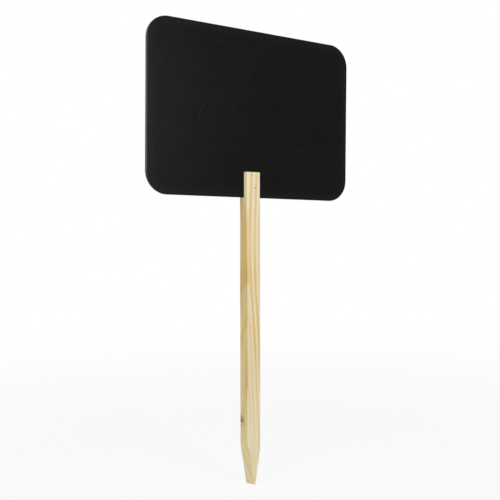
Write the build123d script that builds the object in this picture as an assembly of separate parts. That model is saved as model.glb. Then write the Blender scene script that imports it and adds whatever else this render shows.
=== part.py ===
from build123d import *
import os

# Plant label stake: a black writing board whose lower edge is pushed into a saw kerf, in the top of
# a pointed pine stake. Millimetres, +Z up, with the board's front facing -Y. The origin is on the
# stake's axis at the level of its tip, the end that is pushed into the soil.

# Writing board: an A4 panel with round corners and rounded-over edges
BOARD_WIDTH = 297.0
BOARD_HEIGHT = 210.0
BOARD_THICKNESS = 4.0
BOARD_CORNER_RADIUS = 28.0
BOARD_EDGE_RADIUS = 1.2
# The board was pushed in by eye, with the middle of its foot this far to the right of the stake's axis.
BOARD_OFFSET_X = 5.3

# Stake: a planed batten with eased arrises
STAKE_WIDTH = 20.0
STAKE_DEPTH = 16.0
STAKE_LENGTH = 397.0
STAKE_ARRIS_RADIUS = 0.5

# Kerf in the stake's top, which holds the board between a front and a rear tongue
KERF_DEPTH = 32.0
KERF_CLEARANCE = 0.1
# The kerf's middle lies this far behind the middle of the stake.
KERF_OFFSET_Y = 0.3
# The saw went in deeper on the right, so the kerf's floor slopes by this many degrees, and the board
# leans with it.
KERF_SLOPE = 0.55
TONGUE_CHAMFER = 0.4

# Point: two sloping saw cuts that leave a narrow chisel edge
POINT_LENGTH = 59.0
TIP_WIDTH = 1.0
# The two cuts aren't quite alike, so the edge lies a little to the right.
TIP_OFFSET_X = 0.7
# The stake was held turned by this many degrees in the saw, so the edge isn't square to its front.
POINT_TURN = 9.0

# Heights and places that follow from the sizes above
kerf_floor_z = STAKE_LENGTH - KERF_DEPTH
kerf_width = BOARD_THICKNESS + 2 * KERF_CLEARANCE
# A flat stays along the middle of the board's edge, on which the board stands in the kerf.
largest_edge_radius = 0.45 * BOARD_THICKNESS
board_edge_radius = min(BOARD_EDGE_RADIUS, largest_edge_radius)
# The tongues' chamfer stays within the rounding of the arrises that it meets.
largest_chamfer = 0.8 * STAKE_ARRIS_RADIUS
tongue_chamfer = min(TONGUE_CHAMFER, largest_chamfer)
# The kerf's own frame: the middle of its floor, with X along the floor
kerf = Pos(0, KERF_OFFSET_Y, kerf_floor_z) * Rot(0, KERF_SLOPE, 0)


def point_cut(side):
    """Plane of the sloping cut on one side, -1 left or 1 right, facing the wood that stays."""
    foot = Vector(TIP_OFFSET_X + side * TIP_WIDTH / 2, 0, 0)
    shoulder = Vector(side * STAKE_WIDTH / 2, 0, POINT_LENGTH)
    edge = Vector(0, 1, 0).rotate(Axis.Z, POINT_TURN)
    inward = (shoulder - foot).cross(side * edge)
    return Plane(origin=foot, x_dir=edge, z_dir=inward)


def make_stake():
    """Batten with its point, kerf and chamfered tongue ends."""
    section = RectangleRounded(STAKE_WIDTH, STAKE_DEPTH, STAKE_ARRIS_RADIUS)
    stake = extrude(section, STAKE_LENGTH)
    for side in (-1, 1):
        stake = split(stake, bisect_by=point_cut(side), keep=Keep.TOP)
    # The cutter passes both sides and the top, so the kerf is open there.
    cutter = Box(
        2 * STAKE_WIDTH,
        kerf_width,
        2 * KERF_DEPTH,
        align=(Align.CENTER, Align.CENTER, Align.MIN),
    )
    stake -= kerf * cutter
    tongue_ends = stake.faces().group_by(Axis.Z)[-1]
    return chamfer(tongue_ends.edges(), tongue_chamfer)


def make_board():
    """Panel standing on the kerf's floor."""
    outline = Plane.XZ * RectangleRounded(BOARD_WIDTH, BOARD_HEIGHT, BOARD_CORNER_RADIUS)
    panel = extrude(outline, BOARD_THICKNESS / 2, both=True)
    faces = panel.faces().filter_by(Axis.Y)
    panel = fillet(faces.edges(), board_edge_radius)
    return kerf * Pos(BOARD_OFFSET_X, 0, BOARD_HEIGHT / 2) * panel


def main():
    """Write one STEP file for each piece."""
    os.makedirs("parts", exist_ok=True)
    pieces = {"stake": make_stake(), "board": make_board()}
    for name, piece in pieces.items():
        export_step(piece, f"parts/{name}.step")


if __name__ == "__main__":
    main()
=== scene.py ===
"""Plant label stake: the pine stake and the black writing board, modelled, finished and lit.

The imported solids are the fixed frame. One modelled piece stands for each of the two nodes, at the same
place and size. Sizes in the classes are millimetres, as on the maker's drawing, and meshes are in metres.
"""

import logging
import math
from dataclasses import dataclass
from enum import Enum
from typing import Any, Callable, Iterable, Mapping, Sequence, Union

import bmesh
import bpy
from mathutils import Euler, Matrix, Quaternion, Vector


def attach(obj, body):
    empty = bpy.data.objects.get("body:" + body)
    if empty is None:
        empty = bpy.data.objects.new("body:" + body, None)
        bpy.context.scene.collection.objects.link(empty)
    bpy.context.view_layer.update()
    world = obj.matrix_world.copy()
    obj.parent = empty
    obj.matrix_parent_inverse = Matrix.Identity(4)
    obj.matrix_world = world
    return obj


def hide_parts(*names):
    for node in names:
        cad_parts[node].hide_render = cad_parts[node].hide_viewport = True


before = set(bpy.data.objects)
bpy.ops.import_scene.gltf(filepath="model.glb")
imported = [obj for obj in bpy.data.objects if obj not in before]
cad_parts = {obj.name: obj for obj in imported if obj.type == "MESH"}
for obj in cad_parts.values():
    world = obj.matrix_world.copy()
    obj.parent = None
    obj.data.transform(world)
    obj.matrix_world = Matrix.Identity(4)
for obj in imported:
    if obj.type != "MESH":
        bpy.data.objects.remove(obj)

log = logging.getLogger("plant_label_stake")

MM = 0.001
# Places that are closer than this, in millimetres, count as one.
HAIR = 0.01
SIDEWAYS = Vector((1, 0, 0))
BACKWARD = Vector((0, 1, 0))
UPWARD = Vector((0, 0, 1))
# Edges that turn by more than these degrees stay sharp.
SHARP_TURN = 35.0

Socket = bpy.types.NodeSocket
Colour = tuple[float, float, float]
Stops = tuple[tuple[float, float], ...]
Number = Union["Reading", float]

WHITE: Colour = (1.0, 1.0, 1.0)


def metres(x: float, y: float, z: float) -> Vector:
    """Give a point or a size in metres for its millimetres."""
    return Vector((x, y, z)) * MM


def rgba(colour: Colour) -> tuple[float, float, float, float]:
    """Give a colour as an opaque socket value."""
    return (*colour, 1.0)


@dataclass(frozen=True)
class Reading:
    """A number that changes over a surface: a node's output that takes part in arithmetic."""

    sheet: "NodeSheet"
    socket: Socket

    def __add__(self, other: Number) -> "Reading":
        """Add."""
        return self.sheet.math("ADD", self, other)

    def __sub__(self, other: Number) -> "Reading":
        """Take away."""
        return self.sheet.math("SUBTRACT", self, other)

    def __rsub__(self, other: Number) -> "Reading":
        """Take away from a plain number."""
        return self.sheet.math("SUBTRACT", other, self)

    def __mul__(self, other: Number) -> "Reading":
        """Multiply."""
        return self.sheet.math("MULTIPLY", self, other)

    # These two are the same from either side.
    __radd__ = __add__
    __rmul__ = __mul__

    def __truediv__(self, other: Number) -> "Reading":
        """Divide."""
        return self.sheet.math("DIVIDE", self, other)

    def __pow__(self, power: float) -> "Reading":
        """Raise to a power."""
        return self.sheet.math("POWER", self, power)

    def __abs__(self) -> "Reading":
        """Drop the sign."""
        return self.sheet.math("ABSOLUTE", self)

    def root(self) -> "Reading":
        """Take the square root."""
        return self.sheet.math("SQRT", self)

    def fraction(self) -> "Reading":
        """Keep what stands behind the decimal point."""
        return self.sheet.math("FRACT", self)

    def no_more_than(self, other: Number) -> "Reading":
        """Take the smaller of two."""
        return self.sheet.math("MINIMUM", self, other)

    def or_more(self, other: Number) -> "Reading":
        """Take the larger of two."""
        return self.sheet.math("MAXIMUM", self, other)

    def rise(self, start: float, end: float) -> "Reading":
        """Go smoothly from 0 to 1.

        Args:
            start: Where the rise starts.
            end: Where it ends, which may lie below start.

        Returns:
            A reading from 0 to 1.
        """
        sockets = {"Value": self, "From Min": start, "From Max": end}
        node = self.sheet.add("MapRange", sockets, interpolation_type="SMOOTHSTEP")
        return Reading(self.sheet, node.outputs[0])

    def peak(self, middle: float, half_width: float) -> "Reading":
        """Go smoothly from 1 at the middle to 0 at half_width on either side."""
        return abs(self - middle).rise(half_width, 0.0)

    def between(self, start: float, full: float, fading: float, end: float) -> "Reading":
        """Go smoothly from 0 at start to 1 at full, and from 1 at fading back to 0 at end."""
        return self.rise(start, full) * self.rise(end, fading)

    def profile(self, stops: Stops) -> "Reading":
        """Look a value up.

        Args:
            stops: A few marks in rising order, each with its value from 0 to 1.

        Returns:
            The value, smoothly drawn between the marks.
        """
        first = stops[0][0]
        span = stops[-1][0] - first
        node = self.sheet.add("ValToRGB", {0: (self - first) / span})
        ramp = node.color_ramp
        ramp.interpolation = "CARDINAL"
        while len(ramp.elements) < len(stops):
            ramp.elements.new(0.5)
        for element, (mark, value) in zip(ramp.elements, stops):
            element.position = (mark - first) / span
            element.color = rgba((value, value, value))
        return Reading(self.sheet, node.outputs[0])


@dataclass(frozen=True)
class Spot:
    """The point being shaded, in millimetres, and which way its surface faces."""

    vector: Socket
    x: Reading
    y: Reading
    z: Reading
    facing_x: Reading
    facing_y: Reading

    def noise(self, per_mm: Sequence[float], detail: float = 2.0, roughness: float = 0.5) -> Reading:
        """Add cloudy noise.

        Args:
            per_mm: Lumps of the noise in each millimetre along X, Y and Z.
            detail: Number of finer layers.
            roughness: Strength of the finer layers.

        Returns:
            A reading from 0 to 1, about 0.5 on average.
        """
        sheet = self.x.sheet
        stretched = sheet.add("VectorMath", {0: self.vector, 1: tuple(per_mm)}, operation="MULTIPLY")
        sockets = {"Vector": stretched.outputs[0], "Scale": 1.0, "Detail": detail, "Roughness": roughness}
        return Reading(sheet, sheet.add("TexNoise", sockets).outputs[0])


class NodeSheet:
    """The nodes of one material or world, written down as expressions."""

    def __init__(self, tree: bpy.types.NodeTree) -> None:
        """Start on an empty tree."""
        self.tree = tree
        self.tree.nodes.clear()

    def add(self, kind: str, sockets: Mapping[Union[str, int], Any], **settings: str) -> bpy.types.Node:
        """Add one node.

        Args:
            kind: Blender's name for the node's type, less its prefix.
            sockets: A value, a colour, a reading or another node's output for each input.
            **settings: The node's own settings, which are set before its sockets.

        Returns:
            The new node.
        """
        node = self.tree.nodes.new(f"ShaderNode{kind}")
        for name, setting in settings.items():
            setattr(node, name, setting)
        for name, value in sockets.items():
            socket = node.inputs[name]
            source = value.socket if isinstance(value, Reading) else value
            if isinstance(source, Socket):
                self.tree.links.new(source, socket)
            else:
                socket.default_value = rgba(source) if socket.type == "RGBA" else source
        return node

    def math(self, operation: str, *values: Number) -> Reading:
        """Add a Math node on one or two values."""
        node = self.add("Math", dict(enumerate(values)), operation=operation)
        return Reading(self, node.outputs[0])

    def blend(self, share: Number, under: Any, over: Any, blend_type: str = "MIX") -> Socket:
        """Lay one colour over another.

        Args:
            share: How much of the upper colour shows, from 0 to 1.
            under: The lower colour, as a value or an output.
            over: The upper colour, as a value or an output.
            blend_type: How the two are combined.

        Returns:
            The output that carries the colour.
        """
        sockets = {0: share, 6: under, 7: over}
        return self.add("Mix", sockets, data_type="RGBA", blend_type=blend_type).outputs[2]

    def spot(self) -> Spot:
        """Read the shaded point.

        Returns:
            The point in the piece's own coordinates.
        """
        coordinates = self.add("TexCoord", {}).outputs
        sockets = {"Vector": coordinates["Object"], "Scale": 1.0 / MM}
        scaled = self.add("VectorMath", sockets, operation="SCALE").outputs[0]
        place = self.add("SeparateXYZ", {0: scaled}).outputs
        facing = self.add("SeparateXYZ", {0: coordinates["Normal"]}).outputs
        readings = [Reading(self, socket) for socket in (*place, facing[0], facing[1])]
        return Spot(scaled, *readings)

    def principled(self, sockets: Mapping[str, Any], height: Reading, depth: float) -> None:
        """Finish a material with a Principled shader.

        Args:
            sockets: The shader's inputs.
            height: Height of the relief, from 0 to 1.
            depth: Depth of the relief in millimetres.
        """
        relief = self.add("Bump", {"Strength": 1.0, "Distance": depth * MM, "Height": height})
        shader = self.add("BsdfPrincipled", {**sockets, "Normal": relief.outputs[0]})
        self.add("OutputMaterial", {"Surface": shader.outputs[0]})


def new_material(name: str) -> tuple[bpy.types.Material, NodeSheet]:
    """Make an empty node material.

    Args:
        name: The material's name.

    Returns:
        The material and the sheet for its nodes.
    """
    material = bpy.data.materials.new(name)
    material.use_nodes = True
    return material, NodeSheet(material.node_tree)


class WoodSurface(Enum):
    """How a face of the stake was cut."""

    PLANED = "planed"
    SAWN = "sawn"
    END_GRAIN = "end_grain"


class StakeFace(Enum):
    """A face of the stake that carries marks of its own."""

    FRONT = "front"
    LEFT = "left"


@dataclass(frozen=True)
class GrowthRing:
    """One year's dark latewood: how far outward it lies, and its strength by height."""

    outward: float
    strength: Stops
    # It is evenly dark as far as the flats reach, and fades over the widths.
    inner_flat: float = 0.5
    outer_flat: float = 0.7
    inner_width: float = 2.8
    outer_width: float = 1.6
    # Below closing_z the ring lies nearer to the first one, from closed_z down by all of this.
    closes_in: float = 0.0
    closing_z: float = 215.0
    closed_z: float = 178.0

    def share(self, outward: Reading, height: Reading, narrowing: Reading) -> Reading:
        """Work out how dark this ring makes a place.

        Args:
            outward: The place's distance outward from the first ring, in millimetres.
            height: Its height.
            narrowing: How many times narrower than on the front the ring shows.

        Returns:
            A reading from 0 off the ring to its strength along its middle.
        """
        offset = outward - self.outward
        if self.closes_in:
            offset = offset + self.closes_in * height.rise(self.closing_z, self.closed_z)
        dark = (offset * narrowing).between(
            -self.inner_flat - self.inner_width,
            -self.inner_flat,
            self.outer_flat,
            self.outer_flat + self.outer_width,
        )
        return dark * height.profile(self.strength)


@dataclass(frozen=True)
class Fleck:
    """A resin fleck or a speck of bark, as a tilted ellipse on one face of the stake."""

    across: float
    z: float
    half_length: float
    half_width: float
    tilt_degrees: float = 90.0
    strength: float = 1.0
    face: StakeFace = StakeFace.FRONT


@dataclass(frozen=True)
class SideStreak:
    """A darker band on the stake's left side, by the heights where it starts, is full, fades and ends."""

    strength: float
    heights: tuple[float, float, float, float]
    # A narrow one starts at the first of these depths and is full at the second.
    depths: tuple[float, float] | None = None

    def share(self, spot: Spot) -> Reading:
        """Work out how dark the band makes a place."""
        share = self.strength * spot.z.between(*self.heights)
        return share * spot.y.rise(*self.depths) if self.depths else share


@dataclass(frozen=True)
class PineFinish:
    """Bare pine: growth rings about a pith far to the left, a knot, and resin flecks."""

    earlywood: Colour = (0.745, 0.640, 0.432)
    crown_end: Colour = (0.733, 0.676, 0.522)
    root_end: Colour = (0.777, 0.687, 0.482)
    latewood: Colour = (0.645, 0.418, 0.105)
    # A face that lies along the rings shows a yellower wood than one that cuts across them.
    along_rings: Colour = (0.990, 0.945, 0.680)
    # The tongues' sides are painted paler, a painted light that makes up for the shade the board casts on
    # them.
    tongue_side_painted_light: Colour = (0.955, 0.805, 0.405)
    knot_wood: Colour = (0.550, 0.340, 0.095)
    knot_bark: Colour = (0.310, 0.155, 0.020)
    resin: Colour = (0.480, 0.270, 0.050)
    saw_dust: Colour = (0.860, 0.790, 0.560)
    roughness: float = 0.66
    refraction: float = 1.45
    # Depths of the relief: the planed grain's, the torn saw cuts' and the open pores'.
    grain_depth: float = 0.06
    torn_depth: float = 0.20
    pore_depth: float = 0.12

    front_y: float = -8.0
    # Behind the front the rings lean to the left, most at the foot, and round the arrises they step back.
    ring_lean: float = 0.33
    foot_lean: float = 0.60
    arris_step: float = 2.0
    # A wave in the grain makes that step larger near this height.
    wave_step: float = 0.6
    wave_z: float = 214.0
    wave_half_height: float = 26.0
    # The saw's rough cut shows the rings more strongly than the planer's.
    sawn_contrast: float = 1.45
    # The first ring's line on the front: heights, and places in a span from ring_left to ring_right.
    ring_left: float = -6.0
    ring_right: float = 9.0
    ring_line: Stops = (
        (55, 0.945), (125, 0.740), (160, 0.624), (180, 0.572), (240, 0.255),
        (270, 0.115), (300, 0.060), (345, 0.100), (400, 0.250),
    )
    rings: tuple[GrowthRing, ...] = (
        GrowthRing(-19.8, ((50, 0.16), (120, 0.10))),
        GrowthRing(-12, ((35, 0.40), (62, 0.17), (95, 0.30), (120, 0.32), (180, 0.25))),
        GrowthRing(-6.5, ((30, 0.28), (58, 0.22), (120, 0.34), (208, 0.40), (230, 0))),
        GrowthRing(
            0,
            ((50, 0.34), (145, 0.50), (172, 0.80), (212, 0.80), (234, 0.64), (272, 0.85),
             (304, 0.56), (335, 0.78), (400, 0.74)),
            outer_width=2.2,
        ),
        GrowthRing(
            7,
            ((120, 0.34), (150, 0.60), (168, 0.80), (232, 0.72), (243, 0.52), (256, 0.78),
             (270, 0.86), (300, 0.56), (330, 0.66), (365, 0.68), (400, 0.60)),
            inner_width=2.6,
            outer_width=2.6,
            closes_in=0.58,
        ),
        GrowthRing(
            13,
            ((230, 0.30), (290, 0.50), (330, 0.62), (365, 0.56), (400, 0.40)),
            inner_width=1.2,
            outer_width=2.6,
        ),
    )

    # A slow year left a wide brown band inside the first ring, between these heights on the front.
    slow_year_foot: float = 256.0
    slow_year_top: float = 344.0
    slow_year_strength: float = 0.47

    knot_y: float = 3.6
    knot_z: float = 84.4
    knot_radius: float = 5.0
    # Its dark core lies off its middle.
    knot_core_y: float = 4.6
    knot_core_z: float = 82.2

    flecks: tuple[Fleck, ...] = (
        Fleck(2.6, 377.2, 2.7, 1.3, -41),
        Fleck(-4.3, 338.3, 1.5, 1.1, 80, 0.8),
        Fleck(-1.95, 301.9, 2, 1.2, 0, 0.40),
        Fleck(-0.2, 294.9, 1.1, 0.8, 0, 0.35),
        Fleck(3.4, 240.6, 3, 0.8, -45, 0.8),
        Fleck(-6, 203.6, 2.4, 0.8, 90, 0.4),
        Fleck(2, 323.2, 3, 0.6, 0, 0.12, StakeFace.LEFT),
        Fleck(-0.5, 297, 4.5, 0.6, 4, 0.12, StakeFace.LEFT),
        Fleck(3.2, 237.6, 1.6, 1, 0, 0.22, StakeFace.LEFT),
        Fleck(6.4, 86.4, 2.4, 1.1, 90, 0.8, StakeFace.LEFT),
        Fleck(5.2, 75.7, 1.6, 1.5, 90, 1, StakeFace.LEFT),
        Fleck(-2.6, 79.2, 3, 1.6, 90, 0.35, StakeFace.LEFT),
    )
    # Bands as wide as the side, then those along its rear, and by the front arris.
    side_streaks: tuple[SideStreak, ...] = (
        SideStreak(0.05, (190, 240, 360, 372)),
        SideStreak(0.12, (223, 257, 257, 291)),
        SideStreak(0.10, (160, 190, 181, 197)),
        SideStreak(0.10, (197, 213, 240, 262)),
        SideStreak(0.19, (216, 234, 362, 372), (2, 5)),
        SideStreak(0.12, (226, 242, 242, 258), (2, 5)),
        SideStreak(0.17, (328, 346, 362, 372), (2, 5)),
        SideStreak(0.36, (112, 132, 145, 195), (0, -7)),
        SideStreak(0.26, (248, 270, 270, 292), (0, -7)),
    )

    def material(self, surface: WoodSurface) -> bpy.types.Material:
        """Make the wood for one kind of surface.

        Args:
            surface: How the faces that get it were cut.

        Returns:
            The material.
        """
        material, sheet = new_material(f"pine_{surface.value}")
        spot = sheet.spot()
        fibres = spot.noise((2.4, 2.4, 0.045), detail=3.0, roughness=0.6)
        latewood = self.latewood_share(spot, fibres)
        if surface is WoodSurface.SAWN:
            latewood = self.sawn_contrast * latewood
        colour = self.colour(sheet, spot, latewood, fibres)
        roughness = self.roughness - 0.12 * latewood + 0.10 * (fibres - 0.5)
        height = 0.5 * latewood + 0.5 * fibres
        depth = self.grain_depth
        if surface is WoodSurface.SAWN:
            torn = spot.noise((0.9, 0.35, 0.9), detail=4.0, roughness=0.7)
            colour = sheet.blend((0.45 * torn + 0.15) * (1.0 - latewood), colour, self.saw_dust)
            roughness = roughness + 0.14
            height = 0.3 * height + 0.7 * torn
            depth = self.torn_depth
        elif surface is WoodSurface.END_GRAIN:
            pores = spot.noise((3.2, 3.2, 0.4), detail=3.0, roughness=0.7)
            colour = sheet.blend(0.25 * pores, colour, self.resin, "MULTIPLY")
            roughness = roughness + 0.12
            height = 0.4 * height + 0.6 * pores
            depth = self.pore_depth
        sockets = {"Base Color": colour, "Roughness": roughness, "IOR": self.refraction}
        sheet.principled(sockets, height, depth)
        return material

    def latewood_share(self, spot: Spot, fibres: Reading) -> Reading:
        """Work out how dark the growth rings are.

        Args:
            spot: The shaded point.
            fibres: Fine streaks along the grain.

        Returns:
            A reading from 0 in earlywood to 1 in the darkest latewood.
        """
        line = self.ring_left + (self.ring_right - self.ring_left) * spot.z.profile(self.ring_line)
        wander = 1.2 * (spot.noise((0.04, 0.04, 0.02)) - 0.5) + 0.5 * (fibres - 0.5)
        drawn_in = 2.0 * self.distance_from_knot(spot).rise(2.6 * self.knot_radius, 0.0)
        along_rings = abs(spot.facing_x)
        lean = self.ring_lean + (self.foot_lean - self.ring_lean) * spot.z.rise(90.0, 60.0)
        step = self.arris_step + self.wave_step * spot.z.peak(self.wave_z, self.wave_half_height)
        behind = step * along_rings + lean * (spot.y - self.front_y)
        outward = spot.x - line + wander - drawn_in + behind
        # The sides lie almost along the rings, which show there as narrow and weaker streaks.
        narrowing = 1.0 + 1.2 * along_rings
        share = self.slow_year(spot, outward)
        for ring in self.rings:
            share = share.or_more(ring.share(outward, spot.z, narrowing))
        return share.no_more_than(1.0 - 0.45 * along_rings)

    def slow_year(self, spot: Spot, outward: Reading) -> Reading:
        """Work out how brown the slow year makes a place.

        Args:
            spot: The shaded point.
            outward: Its distance outward from the first ring.

        Returns:
            A reading from 0 off the band to its strength.
        """
        behind = spot.y - self.front_y
        top = spot.z - 3.5 * behind + 3.0 * (outward + 3.5)
        foot = spot.z + 0.07 * behind**2.0
        height = top.rise(self.slow_year_top + 12.0, self.slow_year_top - 12.0)
        height = height * foot.rise(self.slow_year_foot - 5.0, self.slow_year_foot + 5.0)
        brown = self.slow_year_strength + 0.05 * abs(spot.facing_x)
        return brown * height * outward.rise(0.0, -1.5)

    def distance_from_knot(self, spot: Spot) -> Reading:
        """Measure from the knot's axis, which runs from side to side and rises a little."""
        up = spot.z - self.knot_z - 0.25 * (spot.x + 10.0)
        return ((spot.y - self.knot_y) ** 2.0 + up**2.0).root()

    def colour(self, sheet: NodeSheet, spot: Spot, latewood: Reading, fibres: Reading) -> Socket:
        """Mix the wood's colour.

        Args:
            sheet: The material's nodes.
            spot: The shaded point.
            latewood: Darkness of the growth rings.
            fibres: Fine streaks along the grain.

        Returns:
            The output that carries the colour.
        """
        colour = sheet.blend(spot.z.rise(200.0, 410.0), self.earlywood, self.crown_end)
        colour = sheet.blend(spot.z.rise(150.0, 55.0), colour, self.root_end)
        colour = sheet.blend(latewood, colour, self.latewood)
        flat_sawn = abs(spot.facing_x)
        yellow = flat_sawn * (1.0 - 0.12 * spot.z.rise(85.0, 60.0))
        colour = sheet.blend(yellow, colour, self.along_rings, "MULTIPLY")
        # Painted light: the tongues' sides are painted paler against the board's shade.
        tongue_side = flat_sawn.rise(0.6, 0.95) * spot.z.rise(360.0, 370.0)
        colour = sheet.blend(0.85 * tongue_side, colour, self.tongue_side_painted_light)
        streaks = (fibres - 0.48).or_more(0.0) * 0.7
        canals = spot.noise((3.4, 3.4, 0.11), detail=1.0).rise(0.66, 0.74)
        colour = sheet.blend(streaks + 0.16 * canals, colour, self.latewood, "MULTIPLY")
        # Painted shade darkens the arrises, more towards the top.
        painted_edge_lighting = 0.08 + 0.22 * spot.z.rise(250.0, 272.0) + 0.35 * spot.z.rise(350.0, 368.0)
        painted_edge_lighting = painted_edge_lighting * flat_sawn.peak(0.6, 0.35)
        colour = sheet.blend(self.side_share(spot) + painted_edge_lighting, colour, self.latewood, "MULTIPLY")
        colour = self.with_knot(sheet, spot, colour)
        return sheet.blend(self.fleck_share(spot), colour, self.resin)

    def side_share(self, spot: Spot) -> Reading:
        """Add up the darker bands on the left side."""
        return sum(streak.share(spot) for streak in self.side_streaks) * spot.facing_x.rise(-0.6, -0.95)

    def with_knot(self, sheet: NodeSheet, spot: Spot, colour: Socket) -> Socket:
        """Lay the knot over the wood.

        Args:
            sheet: The material's nodes.
            spot: The shaded point.
            colour: The wood's colour.

        Returns:
            The output that carries the colour.
        """
        distance = self.distance_from_knot(spot)
        edge = distance + 2.2 * (spot.noise((0.25, 0.25, 0.25)) - 0.5)
        inside = edge.rise(self.knot_radius, 0.80 * self.knot_radius)
        rim = edge.peak(0.84 * self.knot_radius, 0.30 * self.knot_radius)
        off_core = (spot.y - self.knot_core_y) ** 2.0 + (spot.z - self.knot_core_z) ** 2.0
        core = off_core.root().rise(5.0, 0.8)
        shells = 0.20 * (edge * 0.9).fraction()
        halo = edge.rise(2.2 * self.knot_radius, 0.8 * self.knot_radius)
        colour = sheet.blend(0.12 * halo, colour, self.knot_wood)
        colour = sheet.blend(inside * (0.80 + shells), colour, self.knot_wood)
        return sheet.blend((0.40 * rim).or_more(0.85 * core * inside), colour, self.knot_bark)

    def fleck_share(self, spot: Spot) -> Reading:
        """Add up the resin flecks.

        Args:
            spot: The shaded point.

        Returns:
            A reading from 0 off the flecks to 1 in the middle of the strongest.
        """
        faces = {StakeFace.FRONT: (spot.x, spot.facing_y), StakeFace.LEFT: (spot.y, spot.facing_x)}
        share = 0.0 * spot.y
        for fleck in self.flecks:
            sideways, facing = faces[fleck.face]
            tilt = math.radians(fleck.tilt_degrees)
            right = sideways - fleck.across
            up = spot.z - fleck.z
            along = (math.cos(tilt) * right + math.sin(tilt) * up) / fleck.half_length
            across = (math.cos(tilt) * up - math.sin(tilt) * right) / fleck.half_width
            mark = (along**2.0 + across**2.0).root().rise(1.1, 0.3) * facing.rise(-0.7, -0.95)
            share = share.or_more(mark * fleck.strength)
        return 0.85 * share


@dataclass(frozen=True)
class LacquerFinish:
    """Matt black writing lacquer: near-black, finely stippled, with faint wipe marks and a hair scratch."""

    black: Colour = (0.0012, 0.0012, 0.0011)
    worn_black: Colour = (0.0052, 0.0052, 0.0050)
    chalk: Colour = (0.030, 0.030, 0.029)
    # A painted glare makes the face a little greyer along its edge.
    painted_glare_grey: Colour = (0.0058, 0.0058, 0.0056)
    painted_glare_width: float = 13.0
    # Along the rim the lacquer is painted lighter, partly as wear and partly as a painted highlight; on the
    # left the painted highlight reaches as far as the face, between its round corners.
    rim_wear_and_highlight: Colour = (0.150, 0.150, 0.146)
    painted_highlight_heights: tuple[float, float, float, float] = (376.0, 400.0, 548.0, 572.0)
    roughness: float = 0.32
    refraction: float = 1.16
    stipple_depth: float = 0.08

    # The scratch is part of a circle on the front.
    scratch_x: float = -31.0
    scratch_z: float = 449.0
    scratch_radius: float = 44.5
    scratch_half_width: float = 0.45
    scratch_low_z: float = 448.0
    scratch_high_z: float = 489.0
    scratch_fade: float = 3.0

    def material(self, inside: Callable[[Spot], Reading]) -> bpy.types.Material:
        """Make the lacquer.

        Args:
            inside: Measures how far a place lies inside the board's outline.

        Returns:
            The material.
        """
        material, sheet = new_material("black_writing_lacquer")
        spot = sheet.spot()
        stipple = spot.noise((0.9, 0.9, 0.9), detail=3.0, roughness=0.65)
        roller = spot.noise((0.45, 0.45, 0.45), detail=1.0)
        specks = spot.noise((0.37, 0.37, 0.37), detail=0.0).rise(0.865, 0.92)
        clouds = spot.noise((0.02, 0.02, 0.03), detail=3.0)
        wiped = spot.noise((0.05, 0.05, 0.4), detail=3.0, roughness=0.6)
        scratch = self.scratch_share(spot)
        grain = clouds * roller.rise(0.35, 0.65)
        colour = sheet.blend(grain, self.black, self.worn_black)
        # Painted glare: the face is painted greyer towards its outline.
        painted_edge_lighting = inside(spot).rise(self.painted_glare_width, 0.0) * (0.7 + 0.6 * clouds)
        colour = sheet.blend(painted_edge_lighting, colour, self.painted_glare_grey)
        pale_marks = (0.28 * scratch).or_more(0.35 * specks)
        colour = sheet.blend(pale_marks, colour, self.chalk)
        # Painted highlight: the left rim is painted grey where the lamp catches it, and the whole rim a
        # little, as wear and painted highlight.
        painted_left_highlight = spot.facing_x.rise(-0.25, -0.55) * spot.z.between(*self.painted_highlight_heights)
        rim = (0.45 * abs(spot.facing_y).rise(0.75, 0.25)).or_more(painted_left_highlight)
        colour = sheet.blend(rim * (0.55 + 0.9 * (wiped - 0.5)), colour, self.rim_wear_and_highlight)
        roughness = self.roughness + 0.10 * (wiped - 0.5) + 0.12 * (clouds - 0.5) + 0.15 * (stipple - 0.5)
        height = stipple + 1.6 * roller - 0.5 * scratch
        sockets = {"Base Color": colour, "Roughness": roughness, "IOR": self.refraction}
        sheet.principled(sockets, height, self.stipple_depth)
        return material

    def scratch_share(self, spot: Spot) -> Reading:
        """Find the hair scratch on the board's front.

        Args:
            spot: The shaded point.

        Returns:
            A reading from 0 off the scratch to 1 along its middle.
        """
        reach = ((spot.x - self.scratch_x) ** 2.0 + (spot.z - self.scratch_z) ** 2.0).root()
        line = reach.peak(self.scratch_radius, self.scratch_half_width)
        left_half = spot.x.rise(self.scratch_x, self.scratch_x - 20.0)
        low = self.scratch_low_z
        high = self.scratch_high_z
        length = spot.z.between(low, low + self.scratch_fade, high - self.scratch_fade, high)
        return line * left_half * length * spot.facing_y.rise(-0.5, -0.9)


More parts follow.
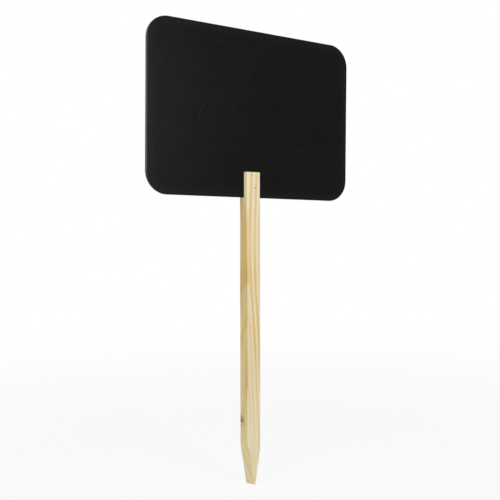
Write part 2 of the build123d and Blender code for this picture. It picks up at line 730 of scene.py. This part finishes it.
class Workpiece:
    """One mesh being shaped with Blender's own modelling tools, from a block of its outer size."""

    def __init__(self, name: str, low: Vector, high: Vector) -> None:
        """Add the block and open it for editing.

        Args:
            name: The piece's name.
            low: Its lowest corner in metres.
            high: Its highest corner in metres.
        """
        bpy.ops.object.select_all(action="DESELECT")
        bpy.ops.mesh.primitive_cube_add(size=1.0, location=(low + high) / 2, scale=high - low)
        self.piece = bpy.context.active_object
        self.piece.name = name
        self.piece.data.name = name
        bpy.ops.object.transform_apply(location=True, rotation=True, scale=True)
        self.open()

    def pick(self, mode: str, chosen: Callable[[bmesh.types.BMesh], Iterable[Any]]) -> None:
        """Select some of the mesh and nothing else.

        Args:
            mode: Blender's name for what is selected: faces, edges or vertices.
            chosen: Lists what is to be selected of the mesh.
        """
        bpy.ops.mesh.select_mode(type=mode)
        bpy.ops.mesh.select_all(action="DESELECT")
        mesh = bmesh.from_edit_mesh(self.piece.data)
        for element in chosen(mesh):
            element.select_set(True)
        bmesh.update_edit_mesh(self.piece.data)

    def pick_faces(self, wanted: Callable[[Vector, Vector], bool]) -> None:
        """Select the faces whose middle and normal are wanted."""
        self.pick("FACE", lambda mesh: [f for f in mesh.faces if wanted(f.calc_center_median(), f.normal)])

    def pick_edges(self, wanted: Callable[[Vector, Vector], bool]) -> None:
        """Select the edges whose two ends are wanted."""
        self.pick("EDGE", lambda mesh: [e for e in mesh.edges if wanted(e.verts[0].co, e.verts[1].co)])

    def pick_points(self, wanted: Callable[[Vector], bool]) -> None:
        """Select the vertices whose places are wanted."""
        self.pick("VERT", lambda mesh: [v for v in mesh.verts if wanted(v.co)])

    def round_over(self, radius: float, segments: int) -> None:
        """Bevel the selected edges with a radius in metres."""
        bpy.ops.mesh.bevel(offset=radius, offset_type="OFFSET", segments=segments, affect="EDGES")

    def turn(self, degrees: float, centre: Vector) -> None:
        """Turn what is selected clockwise, seen from the front, about a centre."""
        bpy.ops.transform.rotate(value=-math.radians(degrees), orient_axis="Y", center_override=centre)

    def saw_off(self, place: Vector, outward: Vector) -> None:
        """Cut off all that lies outward of a plane and close the cut."""
        bpy.ops.mesh.select_all(action="SELECT")
        bpy.ops.mesh.bisect(plane_co=place, plane_no=outward, use_fill=True, clear_outer=True)

    def score(self, direction: Vector, places: Iterable[float]) -> None:
        """Divide all faces along parallel planes.

        Args:
            direction: The axis that the planes stand square to.
            places: Each plane's place along it, in metres.
        """
        for place in places:
            bpy.ops.mesh.select_all(action="SELECT")
            bpy.ops.mesh.bisect(plane_co=direction * place, plane_no=direction)

    def give(self, slot: int) -> None:
        """Give the selected faces one of the piece's materials."""
        self.piece.active_material_index = slot
        bpy.ops.object.material_slot_assign()

    def open(self) -> None:
        """Go into edit mode."""
        bpy.ops.object.mode_set(mode="EDIT")

    def close(self) -> None:
        """Leave edit mode."""
        bpy.ops.object.mode_set(mode="OBJECT")

    def mark(self, name: str, wanted: Callable[[Vector], bool]) -> None:
        """Keep the vertices whose places are wanted as a named group."""
        group = self.piece.vertex_groups.new(name=name)
        group.add([v.index for v in self.piece.data.vertices if wanted(v.co)], 1.0, "REPLACE")

    def dent(self, group: str, depth: float, lump: float) -> None:
        """Wear a group of vertices inwards by cloudy noise.

        Args:
            group: The group's name.
            depth: The deepest dent in metres.
            lump: Size of the noise's lumps in metres.
        """
        clouds = bpy.data.textures.new(group, type="CLOUDS")
        clouds.noise_scale = lump
        clouds.contrast = 1.6
        wear = self.piece.modifiers.new(group, "DISPLACE")
        wear.texture = clouds
        wear.texture_coords = "LOCAL"
        wear.vertex_group = group
        wear.mid_level = 1.0
        wear.strength = depth
        bpy.ops.object.modifier_apply(modifier=group)
        bpy.data.textures.remove(clouds)

    def smooth(self) -> bpy.types.Object:
        """Shade the rounded edges smoothly and the flats flat.

        Returns:
            The finished piece.
        """
        bpy.ops.object.shade_smooth_by_angle(angle=math.radians(SHARP_TURN))
        normals = self.piece.modifiers.new("normals", "WEIGHTED_NORMAL")
        normals.keep_sharp = True
        bpy.ops.object.modifier_apply(modifier="normals")
        return self.piece


def spaced(start: float, end: float, step: float) -> list[float]:
    """List places between two millimetre marks, evenly spaced and given in metres."""
    count = max(1, round((end - start) / step))
    return [(start + (end - start) * (i + 0.5) / count) * MM for i in range(count)]


@dataclass(frozen=True)
class Kerf:
    """The saw slit in the stake's top, in which the board stands."""

    middle_y: float = 0.3
    width: float = 4.2
    floor_z: float = 365.0
    # The floor slopes about the stake's axis by these degrees, and the board leans with it.
    slope: float = 0.55

    @property
    def walls(self) -> tuple[float, float]:
        """Give the places of the front and the rear wall."""
        return self.middle_y - self.width / 2, self.middle_y + self.width / 2

    @property
    def floor(self) -> Vector:
        """Give the middle of the floor in metres."""
        return metres(0, self.middle_y, self.floor_z)


@dataclass
class PineStake:
    """The pointed batten, with a kerf between two tongues at its top."""

    width: float = 20.0
    depth: float = 16.0
    length: float = 397.0
    arris_radius: float = 0.5
    kerf: Kerf = Kerf()
    tongue_chamfer: float = 0.4
    left_cut: float = 56.0
    right_cut: float = 52.0
    tip_width: float = 1.3
    tip_x: float = 0.60
    # The chisel edge is trimmed aslant, a little at the rear and by tip_rise more at the front.
    tip_lift: float = 0.1
    tip_rise: float = 1.9
    # The cuts are turned against the batten, which has itself twisted in drying.
    point_turn: float = 4.0
    # Each twist turns all below a height by some degrees, and fades out up to a second height.
    twists: tuple[tuple[float, float, float], ...] = ((5.6, 235.0, 345.0), (-1.4, 105.0, 165.0))
    grid: float = 2.0
    # The deepest wear, and the size of its lumps.
    arris_wear: float = 0.12
    arris_lump: float = 5.0
    saw_tear: float = 0.30
    saw_lump: float = 1.6
    finish: PineFinish = PineFinish()

    def make(self) -> bpy.types.Object:
        """Model the stake, dress it and set it on its body.

        Returns:
            The finished piece.
        """
        batten = self.batten_with_tongues()
        self.saw_point(batten)
        self.ease_edges(batten)
        self.divide(batten)
        self.dress(batten)
        self.wear(batten)
        self.twist_in_drying(batten)
        piece = batten.smooth()
        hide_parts("stake")
        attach(piece, "stake")
        return piece

    def batten_with_tongues(self) -> Workpiece:
        """Raise two tongues on a plain batten and round its four long arrises.

        Returns:
            The batten, open for editing.
        """
        half_x = self.width / 2
        half_y = self.depth / 2
        low = metres(-half_x, -half_y, 0.0)
        high = metres(half_x, half_y, self.kerf.floor_z)
        batten = Workpiece("pine_stake", low, high)
        batten.score(BACKWARD, [wall * MM for wall in self.kerf.walls])
        floor = self.kerf.floor
        half_kerf = self.kerf.width / 2 * MM
        batten.pick_faces(lambda c, n: n.z > 0.9 and abs(c.y - floor.y) > half_kerf)
        rise = metres(0, 0, self.length - self.kerf.floor_z)
        bpy.ops.mesh.extrude_region_move(TRANSFORM_OT_translate={"value": rise})
        corner = metres(half_x, half_y, 0) * 0.999
        batten.pick_edges(
            lambda a, b: all(abs(p.x) > corner.x and abs(p.y) > corner.y for p in (a, b))
            and abs(a.z - b.z) > MM
        )
        batten.round_over(self.arris_radius * MM, 4)
        batten.pick_points(
            lambda p: abs(p.z - floor.z) < HAIR * MM and abs(p.y - floor.y) < 1.01 * half_kerf
        )
        batten.turn(self.kerf.slope, floor)
        return batten

    def point_cuts(self) -> list[tuple[Vector, Vector]]:
        """Lay out the two sloping cuts of the point.

        Returns:
            A place on each cut, and the normal there that faces away from the wood.
        """
        turn = math.radians(self.point_turn)
        edge = Vector((-math.sin(turn), math.cos(turn), 0))
        cuts = []
        for side, height in ((-1, self.left_cut), (1, self.right_cut)):
            foot = metres(self.tip_x + side * self.tip_width / 2, 0, 0)
            shoulder = metres(side * self.width / 2, 0, height)
            cuts.append((foot, (side * edge).cross(shoulder - foot).normalized()))
        return cuts

    def depth_in_point(self, place: Vector) -> float:
        """Measure how far a place lies inside the nearer sloping cut, in metres."""
        return min((foot - place).dot(outward) for foot, outward in self.point_cuts())

    def saw_point(self, batten: Workpiece) -> None:
        """Saw the lower end to a chisel point and trim its edge.

        Args:
            batten: The batten, open for editing.
        """
        for foot, outward in self.point_cuts():
            batten.saw_off(foot, outward)
        rear = metres(0, self.depth / 2, self.tip_lift)
        batten.saw_off(rear, Vector((0, -self.tip_rise, -self.depth)).normalized())

    def ease_edges(self, batten: Workpiece) -> None:
        """Break the edges of the tongues' ends.

        Args:
            batten: The batten, open for editing.
        """
        top = (self.length - HAIR) * MM
        batten.pick_edges(lambda a, b: a.z > top and b.z > top)
        batten.round_over(self.tongue_chamfer * MM, 2)

    def divide(self, batten: Workpiece) -> None:
        """Give the faces a grid that is fine enough for wear.

        Args:
            batten: The batten, open for editing.
        """
        flat_x = self.width / 2 - self.arris_radius
        flat_y = self.depth / 2 - self.arris_radius
        batten.score(SIDEWAYS, spaced(-flat_x, flat_x, self.grid))
        walls = (-flat_y, *self.kerf.walls, flat_y)
        for start, end in zip(walls, walls[1:]):
            batten.score(BACKWARD, spaced(start, end, self.grid))
        levels = (0.0, self.kerf.floor_z, self.length - self.tongue_chamfer)
        for start, end in zip(levels, levels[1:]):
            batten.score(UPWARD, spaced(start, end, self.grid))

    def dress(self, batten: Workpiece) -> None:
        """Give the planed, sawn and end-grain faces their wood.

        Args:
            batten: The batten, open for editing.
        """
        for surface in WoodSurface:
            batten.piece.data.materials.append(self.finish.material(surface))
        slots = list(WoodSurface)
        near = 2 * HAIR * MM
        batten.pick_faces(lambda c, n: abs(self.depth_in_point(c)) < near and abs(n.x) > 0.9)
        batten.give(slots.index(WoodSurface.SAWN))
        floor = self.kerf.floor
        reach = self.kerf.width / 2 * MM + near
        batten.pick_faces(lambda c, n: c.z > floor.z - near and abs(c.y - floor.y) < reach)
        batten.give(slots.index(WoodSurface.SAWN))
        top = (self.length - self.tongue_chamfer) * MM
        trim = (self.tip_rise + 2 * self.tip_lift) * MM
        batten.pick_faces(lambda c, n: abs(n.z) > 0.9 and (c.z > top or c.z < trim))
        batten.give(slots.index(WoodSurface.END_GRAIN))

    def wear(self, batten: Workpiece) -> None:
        """Soften the arrises and tear the sawn faces a little.

        Args:
            batten: The batten, open for editing. It is closed first.
        """
        batten.close()
        inner_x = (self.width / 2 - self.arris_radius) * MM + 1e-6
        inner_y = (self.depth / 2 - self.arris_radius) * MM + 1e-6
        batten.mark("arrises", lambda p: abs(p.x) > inner_x and abs(p.y) > inner_y)
        batten.mark("saw_cuts", lambda p: abs(self.depth_in_point(p)) < self.saw_tear * MM)
        batten.dent("arrises", self.arris_wear * MM, self.arris_lump * MM)
        batten.dent("saw_cuts", self.saw_tear * MM, self.saw_lump * MM)
        batten.piece.vertex_groups.clear()

    def twist_in_drying(self, batten: Workpiece) -> None:
        """Twist the stake about its axis, as the wood did by itself.

        Args:
            batten: The batten, closed.
        """
        batten.open()
        for degrees, low_z, high_z in self.twists:
            batten.pick_points(lambda p: p.z < low_z * MM)
            bpy.ops.transform.rotate(
                value=-math.radians(degrees),
                orient_axis="Z",
                center_override=(0.0, 0.0, 0.0),
                use_proportional_edit=True,
                proportional_edit_falloff="SMOOTH",
                proportional_size=(high_z - low_z) * MM,
            )
        batten.close()


@dataclass
class WritingBoard:
    """The black panel with round corners that stands in the kerf."""

    width: float = 297.0
    height: float = 210.0
    thickness: float = 4.0
    kerf: Kerf = Kerf()
    # It stands this far to the right on the kerf's floor.
    foot_x: float = 5.3
    corner_radius: float = 28.0
    front_edge_radius: float = 1.0
    rear_edge_radius: float = 0.4
    grid: float = 6.0
    edge_wear: float = 0.12
    edge_lump: float = 14.0
    finish: LacquerFinish = LacquerFinish()

    def make(self) -> bpy.types.Object:
        """Model the board, lacquer it and set it on its body.

        Returns:
            The finished piece.
        """
        panel = self.panel()
        self.divide(panel)
        bpy.ops.mesh.select_all(action="SELECT")
        panel.turn(self.kerf.slope, self.kerf.floor)
        panel.close()
        self.wear(panel)
        piece = panel.smooth()
        piece.data.materials.append(self.finish.material(self.inside_outline))
        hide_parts("board")
        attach(piece, "board")
        return piece

    def panel(self) -> Workpiece:
        """Round a plain panel's corners and then its edges.

        Returns:
            The panel, open for editing.
        """
        half = metres(self.width / 2, self.thickness / 2, self.height / 2)
        middle = self.kerf.floor + metres(self.foot_x, 0, self.height / 2)
        panel = Workpiece("writing_board", middle - half, middle + half)
        panel.pick_edges(lambda a, b: abs(a.y - b.y) > MM)
        panel.round_over(self.corner_radius * MM, 16)
        front_y = middle.y - half.y * 0.999
        panel.pick_edges(lambda a, b: a.y < front_y and b.y < front_y)
        panel.round_over(self.front_edge_radius * MM, 4)
        rear_y = middle.y + half.y * 0.999
        panel.pick_edges(lambda a, b: a.y > rear_y and b.y > rear_y)
        panel.round_over(self.rear_edge_radius * MM, 2)
        return panel

    def divide(self, panel: Workpiece) -> None:
        """Give the faces an even grid.

        Args:
            panel: The panel, open for editing.
        """
        left = self.foot_x - self.width / 2
        foot = self.kerf.floor_z
        panel.score(SIDEWAYS, spaced(left, left + self.width, self.grid))
        panel.score(UPWARD, spaced(foot, foot + self.height, self.grid))

    def inside_outline(self, spot: Spot) -> Reading:
        """Measure how far a place lies inside the outline with its round corners.

        Args:
            spot: The shaded point.

        Returns:
            Millimetres from the outline, or the corner radius anywhere further in.
        """
        lean = math.radians(self.kerf.slope)
        cosine = math.cos(lean)
        sine = math.sin(lean)
        above_foot = spot.z - self.kerf.floor_z
        across = cosine * spot.x - sine * above_foot - self.foot_x
        up = sine * spot.x + cosine * above_foot - self.height / 2
        radius = self.corner_radius
        near_side = (abs(across) + (radius - self.width / 2)).or_more(0.0)
        near_end = (abs(up) + (radius - self.height / 2)).or_more(0.0)
        return radius - (near_side**2.0 + near_end**2.0).root()

    def wear(self, panel: Workpiece) -> None:
        """Soften the rounded edges unevenly.

        Args:
            panel: The panel, closed.
        """
        inner = (self.thickness / 2 - 5 * HAIR) * MM
        middle = self.kerf.floor
        panel.mark("edges", lambda p: abs(p.y - middle.y) < inner)
        panel.dent("edges", self.edge_wear * MM, self.edge_lump * MM)
        panel.piece.vertex_groups.clear()


@dataclass(frozen=True)
class StudioLamp:
    """A soft box that points at the middle of the object."""

    name: str
    place: tuple[float, float, float]
    size: float
    watts: float

    def set_up(self, target: Vector) -> None:
        """Add the lamp and turn it.

        Args:
            target: What it points at, in metres.
        """
        lamp = bpy.data.lights.new(self.name, "AREA")
        lamp.shape = "SQUARE"
        lamp.size = self.size
        lamp.energy = self.watts
        stand = bpy.data.objects.new(self.name, lamp)
        bpy.context.scene.collection.objects.link(stand)
        stand.location = self.place
        stand.rotation_euler = (target - stand.location).to_track_quat("-Z", "Y").to_euler()
        stand.visible_camera = False


@dataclass
class Studio:
    """White surroundings, a pale floor, soft lamps and the camera. Lengths here are metres."""

    camera_place: tuple[float, float, float] = (-0.4975, -0.7950, 0.3204)
    camera_yaw: float = 32.033
    camera_pitch: float = -1.301
    camera_roll: float = -0.088
    lens: float = 53.366
    sensor_width: float = 36.0
    ambient: float = 0.20
    floor_size: float = 30.0
    floor_colour: Colour = (0.92, 0.92, 0.91)
    # The floor's own white is weaker near the object, where it shows the shadow.
    near_glow: float = 0.90
    near_distance: float = 0.3
    far_distance: float = 1.6
    target: tuple[float, float, float] = (0.0, 0.0, 0.40)
    lamps: tuple[StudioLamp, ...] = (
        StudioLamp("front_soft_box", (0.15, -1.90, 0.74), 0.7, 16.1),
        StudioLamp("left_soft_box", (-1.75, -1.20, 0.78), 1.3, 25.9),
        StudioLamp("rear_soft_box", (0.60, 1.90, 0.90), 1.0, 9.0),
    )

    def set_up(self) -> None:
        """Set up the floor, the light and the camera."""
        self.add_floor()
        self.add_surroundings()
        for lamp in self.lamps:
            lamp.set_up(Vector(self.target))
        self.add_camera()
        bpy.context.scene.view_settings.view_transform = "Standard"

    @staticmethod
    def seen_share(sheet: NodeSheet) -> Reading:
        """Tell the rays that are seen from those that only light.

        Args:
            sheet: The nodes of the floor or the world.

        Returns:
            1 for a ray that is seen directly, in a gloss or through glass, and otherwise 0.
        """
        path = sheet.add("LightPath", {}).outputs
        names = ("Is Camera Ray", "Is Glossy Ray", "Is Transmission Ray")
        camera, glossy, transmission = (Reading(sheet, path[name]) for name in names)
        return (camera + glossy + transmission).no_more_than(1.0)

    def add_floor(self) -> None:
        """Lay a pale floor that glows white where it is seen and keeps the shadow."""
        bpy.ops.object.select_all(action="DESELECT")
        bpy.ops.mesh.primitive_plane_add(size=self.floor_size)
        floor = bpy.context.active_object
        floor.name = "studio_floor"
        material, sheet = new_material("pale_floor")
        matt = sheet.add("BsdfDiffuse", {"Color": self.floor_colour})
        glow = sheet.add("Emission", {"Color": WHITE, "Strength": 1.0})
        spot = sheet.spot()
        distance = (spot.x**2.0 + spot.y**2.0).root() * MM
        far = distance.rise(self.near_distance, self.far_distance)
        share = (self.near_glow + (1.0 - self.near_glow) * far) * self.seen_share(sheet)
        surface = sheet.add("MixShader", {0: share, 1: matt.outputs[0], 2: glow.outputs[0]})
        sheet.add("OutputMaterial", {"Surface": surface.outputs[0]})
        floor.data.materials.append(material)

    def add_surroundings(self) -> None:
        """Make the world white where it is seen and softer where it only lights."""
        world = bpy.data.worlds.new("white_surroundings")
        world.use_nodes = True
        bpy.context.scene.world = world
        sheet = NodeSheet(world.node_tree)
        strength = self.ambient + (1.0 - self.ambient) * self.seen_share(sheet)
        white = sheet.add("Background", {"Color": WHITE, "Strength": strength})
        sheet.add("OutputWorld", {"Surface": white.outputs[0]})

    def add_camera(self) -> None:
        """Put the camera where the photograph was taken from."""
        camera = bpy.data.cameras.new("camera")
        camera.lens = self.lens
        camera.sensor_width = self.sensor_width
        stand = bpy.data.objects.new("camera", camera)
        bpy.context.scene.collection.objects.link(stand)
        stand.location = self.camera_place
        aim = Euler([math.radians(angle) for angle in (90.0 + self.camera_pitch, 0.0, -self.camera_yaw)])
        roll = Quaternion((0.0, 0.0, 1.0), math.radians(self.camera_roll))
        stand.rotation_euler = (aim.to_quaternion() @ roll).to_euler()
        bpy.context.scene.camera = stand


def main() -> None:
    """Build the pieces in order, light them and report each one."""
    logging.basicConfig(level=logging.INFO, format="%(message)s")
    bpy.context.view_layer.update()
    Studio().set_up()
    for maker in (PineStake(), WritingBoard()):
        piece = maker.make()
        log.info("%s: %d faces", piece.name, len(piece.data.polygons))


if __name__ == "__main__":
    main()
